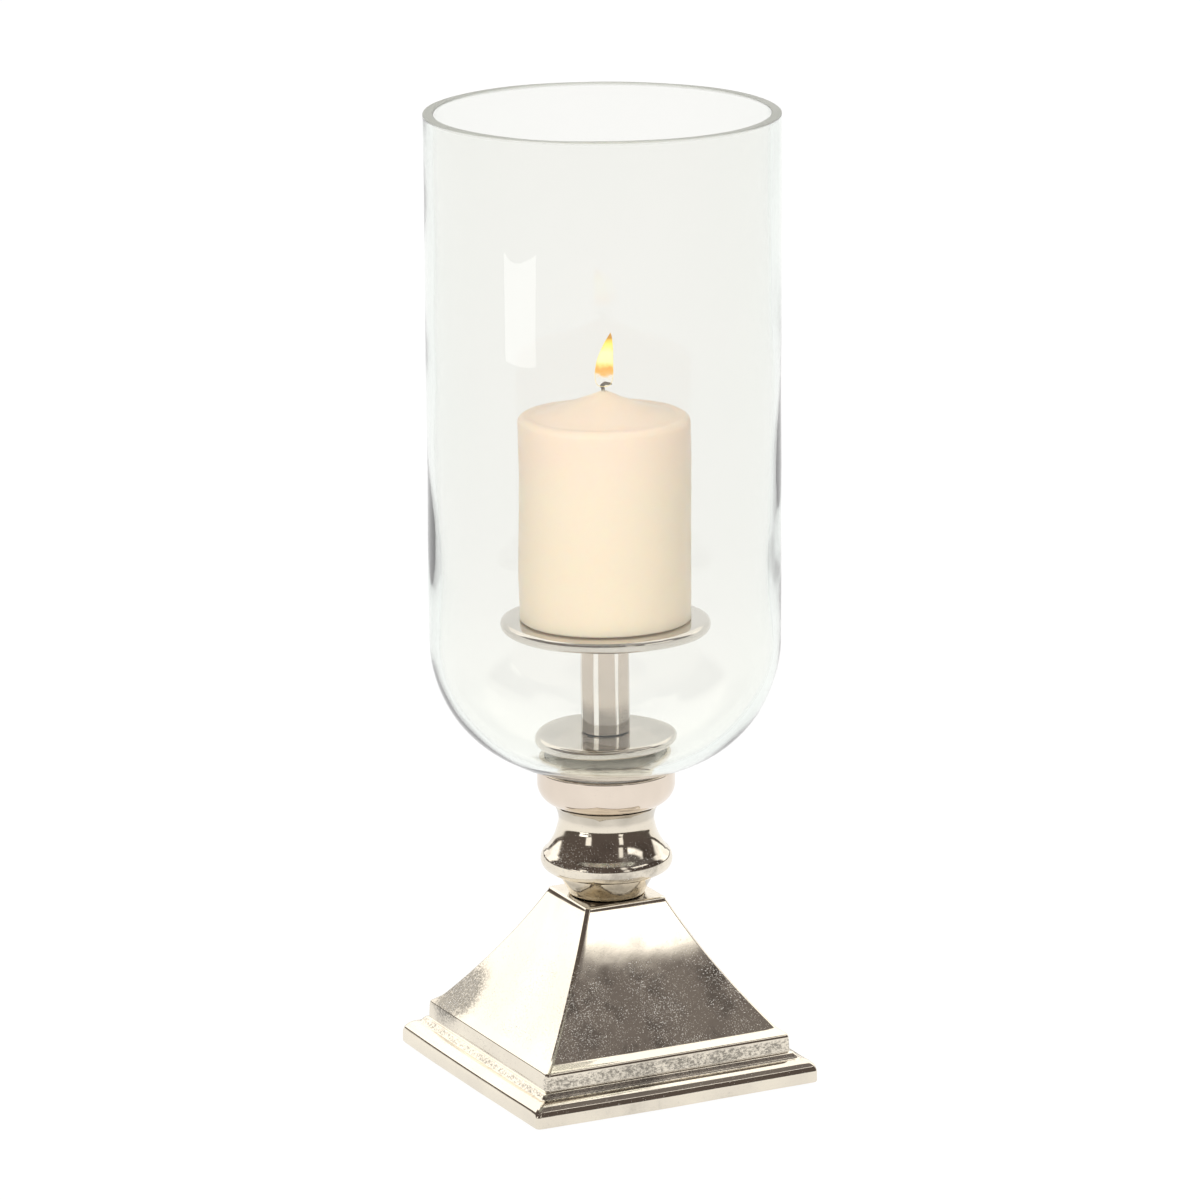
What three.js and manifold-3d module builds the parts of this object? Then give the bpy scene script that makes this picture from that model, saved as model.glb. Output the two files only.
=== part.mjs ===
// Hurricane candle lantern: a stepped square base with a concave pyramid, a turned baluster,
// a cup that holds an open-topped glass, and a candle plate on a post inside the glass.
// Millimetres, +Z up. The origin is on the standing surface, on the vertical centre line.

import * as THREE from 'three';
import { mergeVertices } from 'three/addons/utils/BufferGeometryUtils.js';
import Module from 'manifold-3d';

const wasm = await Module();
wasm.setup();

// ---- Driving dimensions -------------------------------------------------------------------

const GAP = 0.3; // kept between two faces that rest on each other
const DEG = Math.PI / 180;

// Base casting
const PLINTH_HALF = 70.6;
const PLINTH_BOTTOM = 0.8;
const PLINTH_TOP = 11.5;
const PLINTH_EDGE_WIDTH = 4.6; // the rounded upper edge, seen from above
const PLINTH_EDGE_HEIGHT = 6;
const TIER_HALF = 61.3;
const TIER_BOTTOM = 15.2;
const TIER_SHOULDER = 20.2; // where the tier's side starts to round over
const LEDGE_HALF = 60; // outer edge of the sloped ledge round the pyramid
const LEDGE_EDGE = 21.8;
const PYRAMID_FOOT_HALF = 55.9;
const PYRAMID_FOOT = 24.6;
const PYRAMID_TOP_HALF = 19.3;
const PYRAMID_TOP = 80.7;
const PYRAMID_SAG = 2.15; // how far a face curves in at its middle
const CASTING_WALL = 5;
const CASTING_TOP_PLATE = 10;

// Foot pads
const PAD_RADIUS = 6;
const PAD_THICKNESS = 2.2;
const PAD_PLACE = 60; // from the centre line, along X and along Y

// Tie rod, an M8 thread drawn at its outer diameter, and its nut and washers
const ROD_RADIUS = 4;
const THREAD_PITCH = 1.25;
const THREAD_TURNS = 9; // engaged in the post
const ROD_HOLE_RADIUS = ROD_RADIUS + 0.6;
const NUT_ACROSS_FLATS = 13;
const NUT_HEIGHT = 6.5;
const LOCK_WASHER_RADIUS = 7.4;
const LOCK_WASHER_THICKNESS = 2;
const WASHER_RADIUS = 12;
const WASHER_THICKNESS = 1.6;
const ROD_BELOW_NUT = 4;

// Baluster
const NECK_FOOT_RADIUS = 17.2;
const NECK_TOP_RADIUS = 21.7;
const NECK_TOP = 89.9;
const BEAD_RADIUS = 29.5;
const BEAD_ROUND = 5.7; // radius of the bead's rounded rim
const BEAD_HEIGHT = 96.9;
const WAIST_RADIUS = 21.3;
const WAIST_HEIGHT = 114.5;
const COLLAR_RADIUS = 23.6;
const COLLAR_TOP = 122.2;

// Cup
const CUP_RADIUS = 30.8;
const CUP_BOWL_RADIUS = 9.5;
const CUP_BOTTOM = COLLAR_TOP + GAP;
const CUP_TOP = 139;
const CUP_WALL = 2.6;
const CUP_FLOOR = 133.3;
const CUP_RIM_ROUND = 0.9;

// Glass
const GLASS_RADIUS = 77.75;
const GLASS_WALL = 4.5;
const GLASS_BOTTOM = 139;
const GLASS_CORNER_RADIUS = 59;
const GLASS_TOP = 433;
const GLASS_RIM_ROUND = 0.8;
const GLASS_HOLE_RADIUS = 7;

// Gaskets
const LOWER_GASKET_RADIUS = 27.8;
const UPPER_GASKET_RADIUS = 18.5;
const UPPER_GASKET_THICKNESS = 2.2;
const GASKET_HOLE_RADIUS = 6.5;

// Candle support
const FLANGE_RADIUS = 32.3;
const FLANGE_EDGE = 4.5;
const FLANGE_HUB_RADIUS = 22;
const FLANGE_NECK_RADIUS = 25;
const FLANGE_TOP = 153.3;
const POST_RADIUS = 10.9;
const POST_BORE_DEPTH = 22;
const PLATE_RADIUS = 46.5;
const PLATE_THICKNESS = 5.2;
const PLATE_TOP = 207.5;
const SCREW_RADIUS = 2.5;
const SCREW_LENGTH = 19;
const SCREW_HEAD_RADIUS = 4.9;
const SCREW_HEAD_HEIGHT = 2.4;

// Candle
const CANDLE_RADIUS = 38.1;
const CANDLE_BOTTOM = PLATE_TOP + GAP;
const CANDLE_FOOT_ROUND = 1.5;
const CANDLE_SHOULDER = 299.8;
const CANDLE_SHOULDER_ROUND = 3;
const CANDLE_APEX = 310.7;
const WICK_RADIUS = 0.85;
const WICK_BORE_RADIUS = 1.3;
const WICK_RISE = 3.9; // above the candle's apex
const WICK_HOOK = 3.4; // sideways reach of the tip
const WICK_HOOK_ANGLE = -27 * DEG;
const CLIP_RADIUS = 9;
const CLIP_THICKNESS = 0.6;
const CLIP_COLLAR_RADIUS = 2.1;
const CLIP_COLLAR_HEIGHT = 3.6;

// ---- Materials ----------------------------------------------------------------------------

const finish = (color, roughness, metalness, opacity = 1) =>
  new THREE.MeshStandardMaterial({
    color, roughness, metalness, opacity, transparent: opacity < 1,
  });

const NICKEL = finish(0xcfc6ba, 0.16, 1);
const STEEL = finish(0xa9a9a6, 0.35, 1);
const CLEAR_GLASS = finish(0xdfe8e4, 0.03, 0, 0.3);
const RUBBER = finish(0x24221f, 0.8, 0);
const FELT = finish(0x3b3531, 0.95, 0);
const WAX = finish(0xf5e8cf, 0.45, 0);
const WICK_COTTON = finish(0x5b5148, 0.9, 0);

// ---- Shape helpers ------------------------------------------------------------------------

// Points of a circular arc in a (radius, height) outline, angles in degrees from +radius.
function arc(centreRadius, centreHeight, radius, from, to, steps) {
  const points = [];
  for (let i = 0; i <= steps; i++) {
    const angle = (from + ((to - from) * i) / steps) * DEG;
    const r = centreRadius + radius * Math.cos(angle);
    points.push([r, centreHeight + radius * Math.sin(angle)]);
  }
  return points;
}

// Solid of revolution about Z from a (radius, height) outline.
function turned(outline, segments) {
  const points = outline.map(([r, z]) => new THREE.Vector2(Math.max(r, 0), z));
  return new THREE.LatheGeometry(points, segments).rotateX(Math.PI / 2);
}

// The same for an outline that closes on itself, which leaves a hole down the middle.
function turnedRing(outline, segments) {
  return turned([...outline, outline[0]], segments);
}

// A plain flat ring.
function washer(inner, outer, bottom, top, segments) {
  return turnedRing([[inner, bottom], [outer, bottom], [outer, top], [inner, top]], segments);
}

// Solid through a stack of level rounded squares, each [half side, height, corner radius].
function squareStack(levels) {
  const cornerSteps = 3;
  const perLevel = 4 * (cornerSteps + 1);
  const positions = [];
  for (const [half, z, corner] of levels) {
    for (let quarter = 0; quarter < 4; quarter++) {
      const towards = (quarter * 90 + 45) * DEG;
      const centreX = Math.sign(Math.cos(towards)) * (half - corner);
      const centreY = Math.sign(Math.sin(towards)) * (half - corner);
      for (let i = 0; i <= cornerSteps; i++) {
        const angle = (quarter * 90 + (90 * i) / cornerSteps) * DEG;
        positions.push(centreX + corner * Math.cos(angle), centreY + corner * Math.sin(angle), z);
      }
    }
  }
  const index = [];
  for (let level = 0; level < levels.length - 1; level++) {
    for (let i = 0; i < perLevel; i++) {
      const next = (i + 1) % perLevel;
      const a = level * perLevel + i;
      const b = level * perLevel + next;
      index.push(a, b, b + perLevel, a, b + perLevel, a + perLevel);
    }
  }
  const top = (levels.length - 1) * perLevel;
  for (let i = 1; i < perLevel - 1; i++) {
    index.push(0, i + 1, i);
    index.push(top, top + i, top + i + 1);
  }
  const geometry = new THREE.BufferGeometry();
  geometry.setAttribute('position', new THREE.Float32BufferAttribute(positions, 3));
  geometry.setIndex(index);
  return geometry;
}

// Upright cylinder between two heights, centred at (x, y).
function upright(radius, bottom, top, segments, x = 0, y = 0) {
  const height = top - bottom;
  const geometry = new THREE.CylinderGeometry(radius, radius, height, segments);
  return geometry.rotateX(Math.PI / 2).translate(x, y, bottom + height / 2);
}

function toSolid(geometry) {
  const bare = geometry.clone();
  bare.deleteAttribute('normal');
  bare.deleteAttribute('uv');
  const merged = mergeVertices(bare, 1e-4);
  return new wasm.Manifold(new wasm.Mesh({
    numProp: 3,
    vertProperties: new Float32Array(merged.attributes.position.array),
    triVerts: new Uint32Array(merged.index.array),
  }));
}

function toGeometry(solid) {
  const mesh = solid.getMesh();
  const geometry = new THREE.BufferGeometry();
  geometry.setAttribute('position', new THREE.BufferAttribute(mesh.vertProperties, 3));
  geometry.setIndex(new THREE.BufferAttribute(mesh.triVerts, 1));
  return geometry;
}

const lantern = new THREE.Group();

function addPiece(parent, name, geometry, material) {
  const mesh = new THREE.Mesh(geometry, material);
  mesh.name = name;
  parent.add(mesh);
  return mesh;
}

// ---- Base casting and foot pads -----------------------------------------------------------

const padPlaces = [[1, 1], [-1, 1], [-1, -1], [1, -1]].map(([x, y]) => [x * PAD_PLACE, y * PAD_PLACE]);

// Half side of the pyramid at a fraction of its height, curving in between foot and top.
function pyramidHalf(fraction) {
  const straight = THREE.MathUtils.lerp(PYRAMID_FOOT_HALF, PYRAMID_TOP_HALF, fraction);
  return straight - PYRAMID_SAG * 4 * fraction * (1 - fraction);
}

function baseLevels() {
  const levels = [
    [PLINTH_HALF - 0.5, PLINTH_BOTTOM, 1.5],
    [PLINTH_HALF, PLINTH_BOTTOM + 0.5, 2],
  ];
  for (const angle of [0, 30, 60, 90]) {
    const half = PLINTH_HALF - PLINTH_EDGE_WIDTH * (1 - Math.cos(angle * DEG));
    const z = PLINTH_TOP - PLINTH_EDGE_HEIGHT * (1 - Math.sin(angle * DEG));
    levels.push([half, z, 2]);
  }
  // cove from the plinth's top in and up to the tier
  const coveWidth = PLINTH_HALF - PLINTH_EDGE_WIDTH - TIER_HALF;
  for (const fraction of [0.4, 0.75, 1]) {
    const rise = (TIER_BOTTOM - PLINTH_TOP) * fraction ** 2.2;
    levels.push([TIER_HALF + coveWidth * (1 - fraction), PLINTH_TOP + rise, 1.8]);
  }
  // tier, its rounded shoulder and the sloped ledge above it
  levels.push([TIER_HALF - 0.3, TIER_SHOULDER, 1.8]);
  levels.push([LEDGE_HALF + 0.4, LEDGE_EDGE - 0.5, 1.8]);
  levels.push([LEDGE_HALF, LEDGE_EDGE, 1.8]);
  levels.push([PYRAMID_FOOT_HALF, PYRAMID_FOOT, 1.6]);
  const pyramidSteps = 7;
  for (let i = 1; i <= pyramidSteps; i++) {
    const fraction = i / pyramidSteps;
    const z = THREE.MathUtils.lerp(PYRAMID_FOOT, PYRAMID_TOP, fraction);
    levels.push([pyramidHalf(fraction), z, 1.6]);
  }
  return levels;
}

function cavityLevels() {
  const ceiling = PYRAMID_TOP - CASTING_TOP_PLATE;
  const levels = [
    [PLINTH_HALF - 2.2 * CASTING_WALL - PAD_RADIUS, PLINTH_BOTTOM - 1, 3],
    [TIER_HALF - 1.6 * CASTING_WALL, TIER_SHOULDER - CASTING_WALL, 3],
  ];
  for (const z of [35, 52, ceiling]) {
    const fraction = (z - PYRAMID_FOOT) / (PYRAMID_TOP - PYRAMID_FOOT);
    levels.push([pyramidHalf(fraction) - 1.5 * CASTING_WALL, z, 3]);
  }
  return levels;
}

function pyramidBase() {
  let solid = toSolid(squareStack(baseLevels())).subtract(toSolid(squareStack(cavityLevels())));
  solid = solid.subtract(toSolid(upright(ROD_HOLE_RADIUS, 0, PYRAMID_TOP + 1, 16)));
  for (const [x, y] of padPlaces) {
    const pocket = upright(PAD_RADIUS + GAP, 0, PAD_THICKNESS + GAP, 16, x, y);
    solid = solid.subtract(toSolid(pocket));
  }
  return toGeometry(solid);
}

const base = new THREE.Group();
lantern.add(base);
addPiece(base, 'pyramid_base', pyramidBase(), NICKEL);
padPlaces.forEach(([x, y], i) => {
  addPiece(base, `foot_pad_${i + 1}`, upright(PAD_RADIUS, 0, PAD_THICKNESS, 16, x, y), FELT);
});

// ---- Tie rod and its fasteners ------------------------------------------------------------

const washerTop = PYRAMID_TOP - CASTING_TOP_PLATE - GAP;
const washerBottom = washerTop - WASHER_THICKNESS;
const lockWasherTop = washerBottom - GAP;
const lockWasherBottom = lockWasherTop - LOCK_WASHER_THICKNESS;
const nutTop = lockWasherBottom - GAP;
const nutBottom = nutTop - NUT_HEIGHT;
const postBottom = FLANGE_TOP + GAP;
const rodTop = postBottom + THREAD_TURNS * THREAD_PITCH;
const fastenerHole = ROD_RADIUS + GAP + 0.05;

// Split spring washer: a ring with one slot cut through it.
function lockWasher() {
  const ring = washer(fastenerHole, LOCK_WASHER_RADIUS, lockWasherBottom, lockWasherTop, 24);
  const slot = new THREE.BoxGeometry(LOCK_WASHER_RADIUS + 1, 1.2, LOCK_WASHER_THICKNESS + 2);
  slot.translate((LOCK_WASHER_RADIUS + 1) / 2, 0, (lockWasherBottom + lockWasherTop) / 2);
  return toGeometry(toSolid(ring).subtract(toSolid(slot)));
}

function hexNut() {
  const cornerRadius = NUT_ACROSS_FLATS / 2 / Math.cos(30 * DEG);
  const body = toSolid(upright(cornerRadius, nutBottom, nutTop, 6));
  return toGeometry(body.subtract(toSolid(upright(fastenerHole, nutBottom - 1, nutTop + 1, 16))));
}

function tieRod() {
  const chamfer = 0.8;
  const bottom = nutBottom - ROD_BELOW_NUT;
  return turned([
    [0, bottom], [ROD_RADIUS - chamfer, bottom], [ROD_RADIUS, bottom + chamfer],
    [ROD_RADIUS, rodTop - chamfer], [ROD_RADIUS - chamfer, rodTop], [0, rodTop],
  ], 16);
}

addPiece(base, 'base_nut', hexNut(), STEEL);
addPiece(base, 'lock_washer', lockWasher(), STEEL);
addPiece(base, 'base_washer',
  washer(fastenerHole, WASHER_RADIUS, washerBottom, washerTop, 24), STEEL);
addPiece(base, 'tie_rod', tieRod(), STEEL);

// ---- Baluster and cup ---------------------------------------------------------------------

function baluster() {
  const bottom = PYRAMID_TOP + GAP;
  const beadCentre = BEAD_RADIUS - BEAD_ROUND;
  return turnedRing([
    [ROD_HOLE_RADIUS, bottom],
    [NECK_FOOT_RADIUS, bottom],
    [NECK_FOOT_RADIUS + 0.8, bottom + 3],
    [NECK_TOP_RADIUS, NECK_TOP],
    ...arc(beadCentre, BEAD_HEIGHT, BEAD_ROUND, -98, 30, 7),
    [26.8, 103.4],
    [24.2, 106.8],
    [22.3, 110.2],
    [WAIST_RADIUS, WAIST_HEIGHT],
    [(WAIST_RADIUS + COLLAR_RADIUS) / 2 - 0.3, COLLAR_TOP - 3],
    [COLLAR_RADIUS, COLLAR_TOP],
    [ROD_HOLE_RADIUS, COLLAR_TOP],
  ], 36);
}

function glassCup() {
  const innerRadius = CUP_RADIUS - CUP_WALL;
  const bowlCentre = CUP_RADIUS - CUP_BOWL_RADIUS;
  return turnedRing([
    [ROD_HOLE_RADIUS, CUP_BOTTOM],
    ...arc(bowlCentre, CUP_BOTTOM + CUP_BOWL_RADIUS, CUP_BOWL_RADIUS, -90, 0, 6),
    ...arc(CUP_RADIUS - CUP_RIM_ROUND, CUP_TOP - CUP_RIM_ROUND, CUP_RIM_ROUND, 0, 90, 2),
    [innerRadius, CUP_TOP],
    [innerRadius, CUP_FLOOR],
    [ROD_HOLE_RADIUS, CUP_FLOOR],
  ], 36);
}

addPiece(base, 'baluster', baluster(), NICKEL);
addPiece(base, 'glass_cup', glassCup(), NICKEL);

// ---- Glass and its gaskets ----------------------------------------------------------------

const glassCornerCentre = GLASS_RADIUS - GLASS_CORNER_RADIUS;
const glassCornerHeight = GLASS_BOTTOM + GLASS_CORNER_RADIUS;
const glassFloor = GLASS_BOTTOM + GLASS_WALL;

// Height of the glass's outer surface at a radius under its rounded corner.
function glassUnderside(radius) {
  const across = Math.max(radius - glassCornerCentre, 0);
  return glassCornerHeight - Math.sqrt(GLASS_CORNER_RADIUS ** 2 - across ** 2);
}

function glass() {
  const rimOuter = GLASS_RADIUS - GLASS_RIM_ROUND;
  const innerRadius = GLASS_RADIUS - GLASS_WALL;
  return turnedRing([
    [GLASS_HOLE_RADIUS, GLASS_BOTTOM],
    ...arc(glassCornerCentre, glassCornerHeight, GLASS_CORNER_RADIUS, -90, 0, 9),
    ...arc(rimOuter, GLASS_TOP - GLASS_RIM_ROUND, GLASS_RIM_ROUND, 0, 90, 2),
    ...arc(innerRadius + GLASS_RIM_ROUND, GLASS_TOP - GLASS_RIM_ROUND, GLASS_RIM_ROUND, 90, 180, 2),
    ...arc(glassCornerCentre, glassCornerHeight, GLASS_CORNER_RADIUS - GLASS_WALL, 0, -90, 9),
    [GLASS_HOLE_RADIUS, glassFloor],
  ], 48);
}

function lowerGasket() {
  const bottom = CUP_FLOOR + GAP;
  const outline = [[GASKET_HOLE_RADIUS, bottom], [LOWER_GASKET_RADIUS, bottom]];
  for (const radius of [LOWER_GASKET_RADIUS, 25, 22, glassCornerCentre, GASKET_HOLE_RADIUS]) {
    outline.push([radius, glassUnderside(radius) - GAP]);
  }
  return turnedRing(outline, 32);
}

const upperGasketTop = glassFloor + GAP + UPPER_GASKET_THICKNESS;
const upperGasket = washer(
  GASKET_HOLE_RADIUS, UPPER_GASKET_RADIUS, glassFloor + GAP, upperGasketTop, 32);

addPiece(base, 'lower_gasket', lowerGasket(), RUBBER);
addPiece(lantern, 'glass', glass(), CLEAR_GLASS);
addPiece(lantern, 'upper_gasket', upperGasket, RUBBER);

// ---- Candle support -----------------------------------------------------------------------

const plateBottom = PLATE_TOP - PLATE_THICKNESS;
const postTop = plateBottom - GAP;
const screwHeadTop = PLATE_TOP - 0.2;
const screwBottom = screwHeadTop - SCREW_LENGTH;

function clampFlange() {
  const edgeRound = FLANGE_EDGE / 2;
  return turnedRing([
    [ROD_HOLE_RADIUS, upperGasketTop + GAP],
    [FLANGE_HUB_RADIUS, upperGasketTop + GAP],
    [FLANGE_NECK_RADIUS, FLANGE_TOP - FLANGE_EDGE],
    ...arc(FLANGE_RADIUS - edgeRound, FLANGE_TOP - edgeRound, edgeRound, -90, 90, 6),
    [ROD_HOLE_RADIUS, FLANGE_TOP],
  ], 36);
}

function post() {
  const boreTop = postBottom + POST_BORE_DEPTH;
  const screwBore = SCREW_RADIUS + GAP + 0.1;
  return turned([
    [0, boreTop],
    [fastenerHole, boreTop],
    [fastenerHole, postBottom],
    [POST_RADIUS, postBottom],
    [POST_RADIUS, postTop],
    [screwBore, postTop],
    [screwBore, screwBottom - 1],
    [0, screwBottom - 1],
  ], 32);
}

function candlePlate() {
  const edgeRound = PLATE_THICKNESS / 2;
  const hole = SCREW_RADIUS + 0.5;
  const sinkBottom = screwHeadTop - SCREW_HEAD_HEIGHT - 0.5;
  return turnedRing([
    [hole, plateBottom],
    ...arc(PLATE_RADIUS - edgeRound, PLATE_TOP - edgeRound, edgeRound, -90, 90, 6),
    [SCREW_HEAD_RADIUS + 0.7, PLATE_TOP],
    [hole, sinkBottom],
  ], 48);
}

function plateScrew() {
  const socketRadius = 1.6;
  const socketDepth = 1.8;
  return turned([
    [0, screwBottom],
    [SCREW_RADIUS, screwBottom],
    [SCREW_RADIUS, screwHeadTop - SCREW_HEAD_HEIGHT],
    [SCREW_HEAD_RADIUS, screwHeadTop],
    [socketRadius, screwHeadTop],
    [socketRadius, screwHeadTop - socketDepth],
    [0, screwHeadTop - socketDepth],
  ], 20);
}

const support = new THREE.Group();
lantern.add(support);
addPiece(support, 'clamp_flange', clampFlange(), NICKEL);
addPiece(support, 'post', post(), NICKEL);
addPiece(support, 'candle_plate', candlePlate(), NICKEL);
addPiece(support, 'plate_screw', plateScrew(), STEEL);

// ---- Candle -------------------------------------------------------------------------------

const clipBottom = CANDLE_BOTTOM + GAP;
const clipTop = clipBottom + CLIP_THICKNESS;

function candleWax() {
  const foot = CANDLE_RADIUS - CANDLE_FOOT_ROUND;
  const shoulder = CANDLE_RADIUS - CANDLE_SHOULDER_ROUND;
  const clipRecess = CLIP_RADIUS + 0.6;
  const collarRecess = CLIP_COLLAR_RADIUS + 0.5;
  const coneRise = CANDLE_APEX - CANDLE_SHOULDER;
  const cone = [0.55, 0.25, WICK_BORE_RADIUS / shoulder].map((fraction) => [
    shoulder * fraction, CANDLE_SHOULDER + coneRise * (1 - fraction) ** 1.25,
  ]);
  return turnedRing([
    [clipRecess, CANDLE_BOTTOM],
    ...arc(foot, CANDLE_BOTTOM + CANDLE_FOOT_ROUND, CANDLE_FOOT_ROUND, -90, 0, 2),
    ...arc(shoulder, CANDLE_SHOULDER - CANDLE_SHOULDER_ROUND, CANDLE_SHOULDER_ROUND, 0, 80, 4),
    ...cone,
    [WICK_BORE_RADIUS, clipTop + CLIP_COLLAR_HEIGHT + 1],
    [collarRecess, clipTop + CLIP_COLLAR_HEIGHT + 1],
    [collarRecess, clipTop + 0.5],
    [clipRecess, clipTop + 0.5],
  ], 36);
}

function wickClip() {
  return turnedRing([
    [WICK_BORE_RADIUS, clipBottom],
    [CLIP_RADIUS, clipBottom],
    [CLIP_RADIUS, clipTop],
    [CLIP_COLLAR_RADIUS, clipTop],
    [CLIP_COLLAR_RADIUS, clipTop + CLIP_COLLAR_HEIGHT],
    [WICK_BORE_RADIUS, clipTop + CLIP_COLLAR_HEIGHT],
  ], 20);
}

// Straight up through the wax, then a short hook to one side.
function wick() {
  const sides = 6;
  const outline = new THREE.Shape();
  for (let i = 0; i < sides; i++) {
    const angle = (i * 2 * Math.PI) / sides;
    const point = [WICK_RADIUS * Math.cos(angle), WICK_RADIUS * Math.sin(angle)];
    if (i === 0) {
      outline.moveTo(...point);
    } else {
      outline.lineTo(...point);
    }
  }
  const hookX = WICK_HOOK * Math.cos(WICK_HOOK_ANGLE);
  const hookY = WICK_HOOK * Math.sin(WICK_HOOK_ANGLE);
  const tipTop = CANDLE_APEX + WICK_RISE - WICK_RADIUS;
  const stem = new THREE.LineCurve3(
    new THREE.Vector3(0, 0, clipBottom + 0.4), new THREE.Vector3(0, 0, CANDLE_APEX));
  const hook = new THREE.CubicBezierCurve3(
    new THREE.Vector3(0, 0, CANDLE_APEX), new THREE.Vector3(0, 0, tipTop),
    new THREE.Vector3(hookX * 0.4, hookY * 0.4, tipTop + 0.3),
    new THREE.Vector3(hookX, hookY, tipTop - 0.4));
  const route = new THREE.CurvePath();
  route.add(stem);
  route.add(hook);
  return new THREE.ExtrudeGeometry(outline, { steps: 40, extrudePath: route, bevelEnabled: false });
}

const candle = new THREE.Group();
lantern.add(candle);
addPiece(candle, 'candle_wax', candleWax(), WAX);
addPiece(candle, 'wick', wick(), WICK_COTTON);
addPiece(candle, 'wick_clip', wickClip(), STEEL);

export default lantern;
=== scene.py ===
import math

import bpy
from mathutils import Matrix, Vector, noise


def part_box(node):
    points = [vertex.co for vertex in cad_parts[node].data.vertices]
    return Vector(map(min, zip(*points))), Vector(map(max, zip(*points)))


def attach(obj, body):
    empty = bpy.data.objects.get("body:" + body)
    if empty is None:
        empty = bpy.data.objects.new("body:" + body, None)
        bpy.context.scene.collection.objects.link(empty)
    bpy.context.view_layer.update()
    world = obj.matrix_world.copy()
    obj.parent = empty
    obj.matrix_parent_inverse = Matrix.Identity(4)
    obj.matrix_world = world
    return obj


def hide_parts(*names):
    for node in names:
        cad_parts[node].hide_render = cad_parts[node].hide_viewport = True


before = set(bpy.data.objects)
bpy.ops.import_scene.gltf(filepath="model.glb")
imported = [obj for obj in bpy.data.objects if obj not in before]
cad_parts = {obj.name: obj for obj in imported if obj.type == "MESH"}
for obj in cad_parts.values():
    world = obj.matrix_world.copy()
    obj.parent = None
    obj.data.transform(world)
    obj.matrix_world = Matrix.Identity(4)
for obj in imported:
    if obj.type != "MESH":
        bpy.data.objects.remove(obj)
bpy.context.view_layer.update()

MM = 0.001


# ---- Places taken from the frame ----------------------------------------------------------

base_low, base_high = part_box("pyramid_base")
pad_low, pad_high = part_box("foot_pad_1")
pad_width = pad_high.x - pad_low.x
stem_low, stem_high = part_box("baluster")
cup_low, cup_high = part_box("glass_cup")
glass_low, glass_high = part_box("glass")
flange_low, flange_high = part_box("clamp_flange")
post_low, post_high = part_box("post")
plate_low, plate_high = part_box("candle_plate")
wax_low, wax_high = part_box("candle_wax")
wick_low, wick_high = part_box("wick")
clip_low, clip_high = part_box("wick_clip")
rod_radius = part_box("tie_rod")[1].x

ROD_HOLE = rod_radius + 0.6 * MM


# ---- Outlines -----------------------------------------------------------------------------

def arc(centre_r, centre_z, radius, start, stop, steps=10):
    """Points of an arc in a (radius, height) outline, angles in degrees from +radius."""
    points = []
    for i in range(steps + 1):
        angle = math.radians(start + (stop - start) * i / steps)
        points.append((centre_r + radius * math.cos(angle), centre_z + radius * math.sin(angle)))
    return points


def line(start, stop, steps):
    """Evenly spaced points between two outline points, both ends included."""
    return [tuple(a + (b - a) * i / steps for a, b in zip(start, stop)) for i in range(steps + 1)]


BEND_STEP = 0.35 * MM


def bend(start, turns):
    """An outline that goes up and inwards from start.

    Each turn is (first, last, length): the way the surface faces, in degrees above level, changes
    evenly from first to last over that length of outline.
    """
    r, z = start
    points = [start]
    for first, last, length in turns:
        steps = max(2, round(length / BEND_STEP))
        for i in range(steps):
            facing = math.radians(first + (last - first) * (i + 0.5) / steps)
            r -= math.sin(facing) * length / steps
            z += math.cos(facing) * length / steps
            points.append((r, z))
    return points


def through(points, steps=6):
    """A smooth curve through outline points."""
    padded = [points[0], *points, points[-1]]
    curve = []
    for i in range(1, len(padded) - 2):
        before, here, after, beyond = padded[i - 1:i + 3]
        for step in range(steps):
            t = step / steps
            curve.append(tuple(
                0.5 * (2 * b + (c - a) * t + (2 * a - 5 * b + 4 * c - d) * t ** 2
                       + (3 * b - a - 3 * c + d) * t ** 3)
                for a, b, c, d in zip(before, here, after, beyond)))
    curve.append(points[-1])
    return curve


# ---- Meshes -------------------------------------------------------------------------------

def make_object(name, points, faces, sharp=35):
    mesh = bpy.data.meshes.new(name)
    mesh.from_pydata([tuple(p) for p in points], [], faces)
    mesh.validate()
    mesh.shade_smooth()
    mesh.set_sharp_from_angle(angle=math.radians(sharp))
    piece = bpy.data.objects.new(name, mesh)
    bpy.context.scene.collection.objects.link(piece)
    return piece


def skin(rings, closed):
    """Faces between successive rings of equal length; closed joins the last ring to the first."""
    count = len(rings[0])
    total = len(rings)
    faces = []
    for level in range(total if closed else total - 1):
        lower, upper = level * count, (level + 1) % total * count
        for i in range(count):
            after = (i + 1) % count
            faces.append((lower + i, lower + after, upper + after, upper + i))
    return faces


def cap(first, count, up):
    """One flat face over a ring whose points start at index first."""
    around = range(first, first + count)
    return tuple(around) if up else tuple(reversed(around))


def flatten(rings):
    return [p for ring in rings for p in ring]


def spun_rings(outline, segments):
    """One level ring of points for each point of a (radius, height) outline."""
    rings = []
    for r, z in outline:
        ring = []
        for i in range(segments):
            angle = 2 * math.pi * i / segments
            ring.append((r * math.cos(angle), r * math.sin(angle), z))
        rings.append(ring)
    return rings


def turned(name, outline, segments):
    """A turned piece with a hole down the middle: its outline closes on itself."""
    rings = spun_rings(outline, segments)
    return make_object(name, flatten(rings), skin(rings, True))


def capped(rings):
    """Points and faces of a closed piece: its rings run from the bottom face to the top face."""
    points = flatten(rings)
    count = len(rings[0])
    faces = skin(rings, False)
    faces.append(cap(0, count, False))
    faces.append(cap(len(points) - count, count, True))
    return points, faces


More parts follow.
